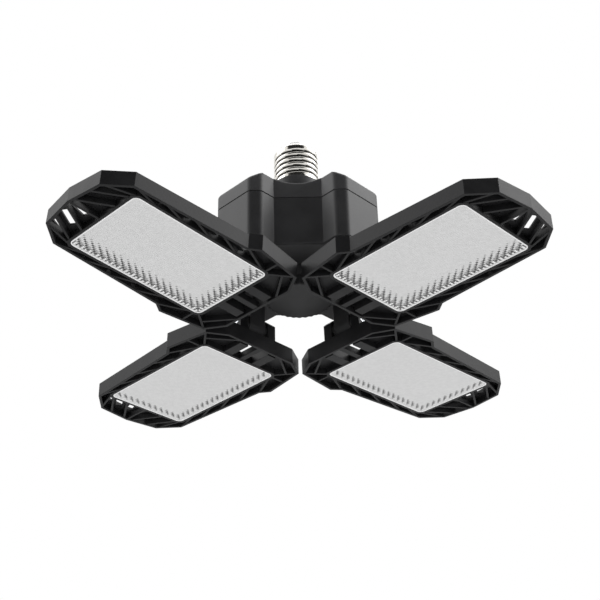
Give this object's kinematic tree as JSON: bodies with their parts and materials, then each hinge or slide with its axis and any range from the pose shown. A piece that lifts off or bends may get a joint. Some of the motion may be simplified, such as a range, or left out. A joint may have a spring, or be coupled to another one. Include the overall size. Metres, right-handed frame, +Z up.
{
  "type": "folding garage light",
  "caption": "Screw-in garage ceiling light: plus-shaped black driver housing with hinged rectangular light panels that fold up around it.",
  "frame": {"origin": "on the lamp axis, at the lower rim of the screw shell, where the mouth of the lamp holder comes to", "axes": "+Z up along the screw base, towards the centre contact; the leaves point along the diagonals of X and Y; the picture looks along +Y from below"},
  "size_m": [0.2425, 0.2425, 0.1284],
  "materials": {
    "nickel_plate": "bright nickel plate on rolled brass",
    "insulator": "pale moulded insulator",
    "contact_solder": "bright solder dome",
    "body_plastic": "satin black moulded plastic",
    "leaf_metal": "black coated die-cast aluminium, satin",
    "diffuser_plastic": "frosted prismatic panel, pale grey",
    "led_board": "white solder mask on aluminium",
    "led_phosphor": "LED with pale yellow phosphor",
    "screw_steel": "zinc plated steel",
    "washer_plastic": "black friction washer",
    "circuit_board": "green glass-fibre board",
    "ferrite": "ferrite core with varnished coil",
    "capacitor_can": "sleeved aluminium can",
    "terminal_plastic": "white terminal block",
    "lead_sleeve": "insulated lead"
  },
  "bodies": {
    "lamp_body": {"screw_shell": "nickel_plate", "base_insulator": "insulator", "centre_contact": "contact_solder", "top_cap": "body_plastic", "driver_housing": "body_plastic", "hub_plate": "body_plastic", "hub_cap": "body_plastic", "driver_board": "circuit_board", "driver_transformer": "ferrite", "driver_capacitors": "capacitor_can", "terminal_block": "terminal_plastic", "supply_leads": "lead_sleeve", "housing_screws": "screw_steel", "hub_screws": "screw_steel"},
    "rear_right_leaf": {"rear_right_leaf_frame": "leaf_metal", "rear_right_led_board": "led_board", "rear_right_led_chips": "led_phosphor", "rear_right_diffuser": "diffuser_plastic", "rear_right_hinge_bolt": "screw_steel", "rear_right_hinge_nut": "screw_steel", "rear_right_friction_washers": "washer_plastic"},
    "rear_left_leaf": {"rear_left_leaf_frame": "leaf_metal", "rear_left_led_board": "led_board", "rear_left_led_chips": "led_phosphor", "rear_left_diffuser": "diffuser_plastic", "rear_left_hinge_bolt": "screw_steel", "rear_left_hinge_nut": "screw_steel", "rear_left_friction_washers": "washer_plastic"},
    "front_left_leaf": {"front_left_leaf_frame": "leaf_metal", "front_left_led_board": "led_board", "front_left_led_chips": "led_phosphor", "front_left_diffuser": "diffuser_plastic", "front_left_hinge_bolt": "screw_steel", "front_left_hinge_nut": "screw_steel", "front_left_friction_washers": "washer_plastic"},
    "front_right_leaf": {"front_right_leaf_frame": "leaf_metal", "front_right_led_board": "led_board", "front_right_led_chips": "led_phosphor", "front_right_diffuser": "diffuser_plastic", "front_right_hinge_bolt": "screw_steel", "front_right_hinge_nut": "screw_steel", "front_right_friction_washers": "washer_plastic"}
  },
  "joints": [
    {"name": "rear_right_fold", "type": "hinge", "parent": "lamp_body", "child": "rear_right_leaf", "pos_m": [0.02758, 0.02758, -0.0772], "axis": [0.7071, -0.7071, 0], "range_deg": [-2, 88]},
    {"name": "rear_left_fold", "type": "hinge", "parent": "lamp_body", "child": "rear_left_leaf", "pos_m": [-0.02758, 0.02758, -0.0772], "axis": [0.7071, 0.7071, 0], "range_deg": [0, 90]},
    {"name": "front_left_fold", "type": "hinge", "parent": "lamp_body", "child": "front_left_leaf", "pos_m": [-0.02758, -0.02758, -0.0772], "axis": [-0.7071, 0.7071, 0], "range_deg": [-4.2, 85.8]},
    {"name": "front_right_fold", "type": "hinge", "parent": "lamp_body", "child": "front_right_leaf", "pos_m": [0.02758, -0.02758, -0.0772], "axis": [-0.7071, -0.7071, 0], "range_deg": [0, 90]}
  ]
}
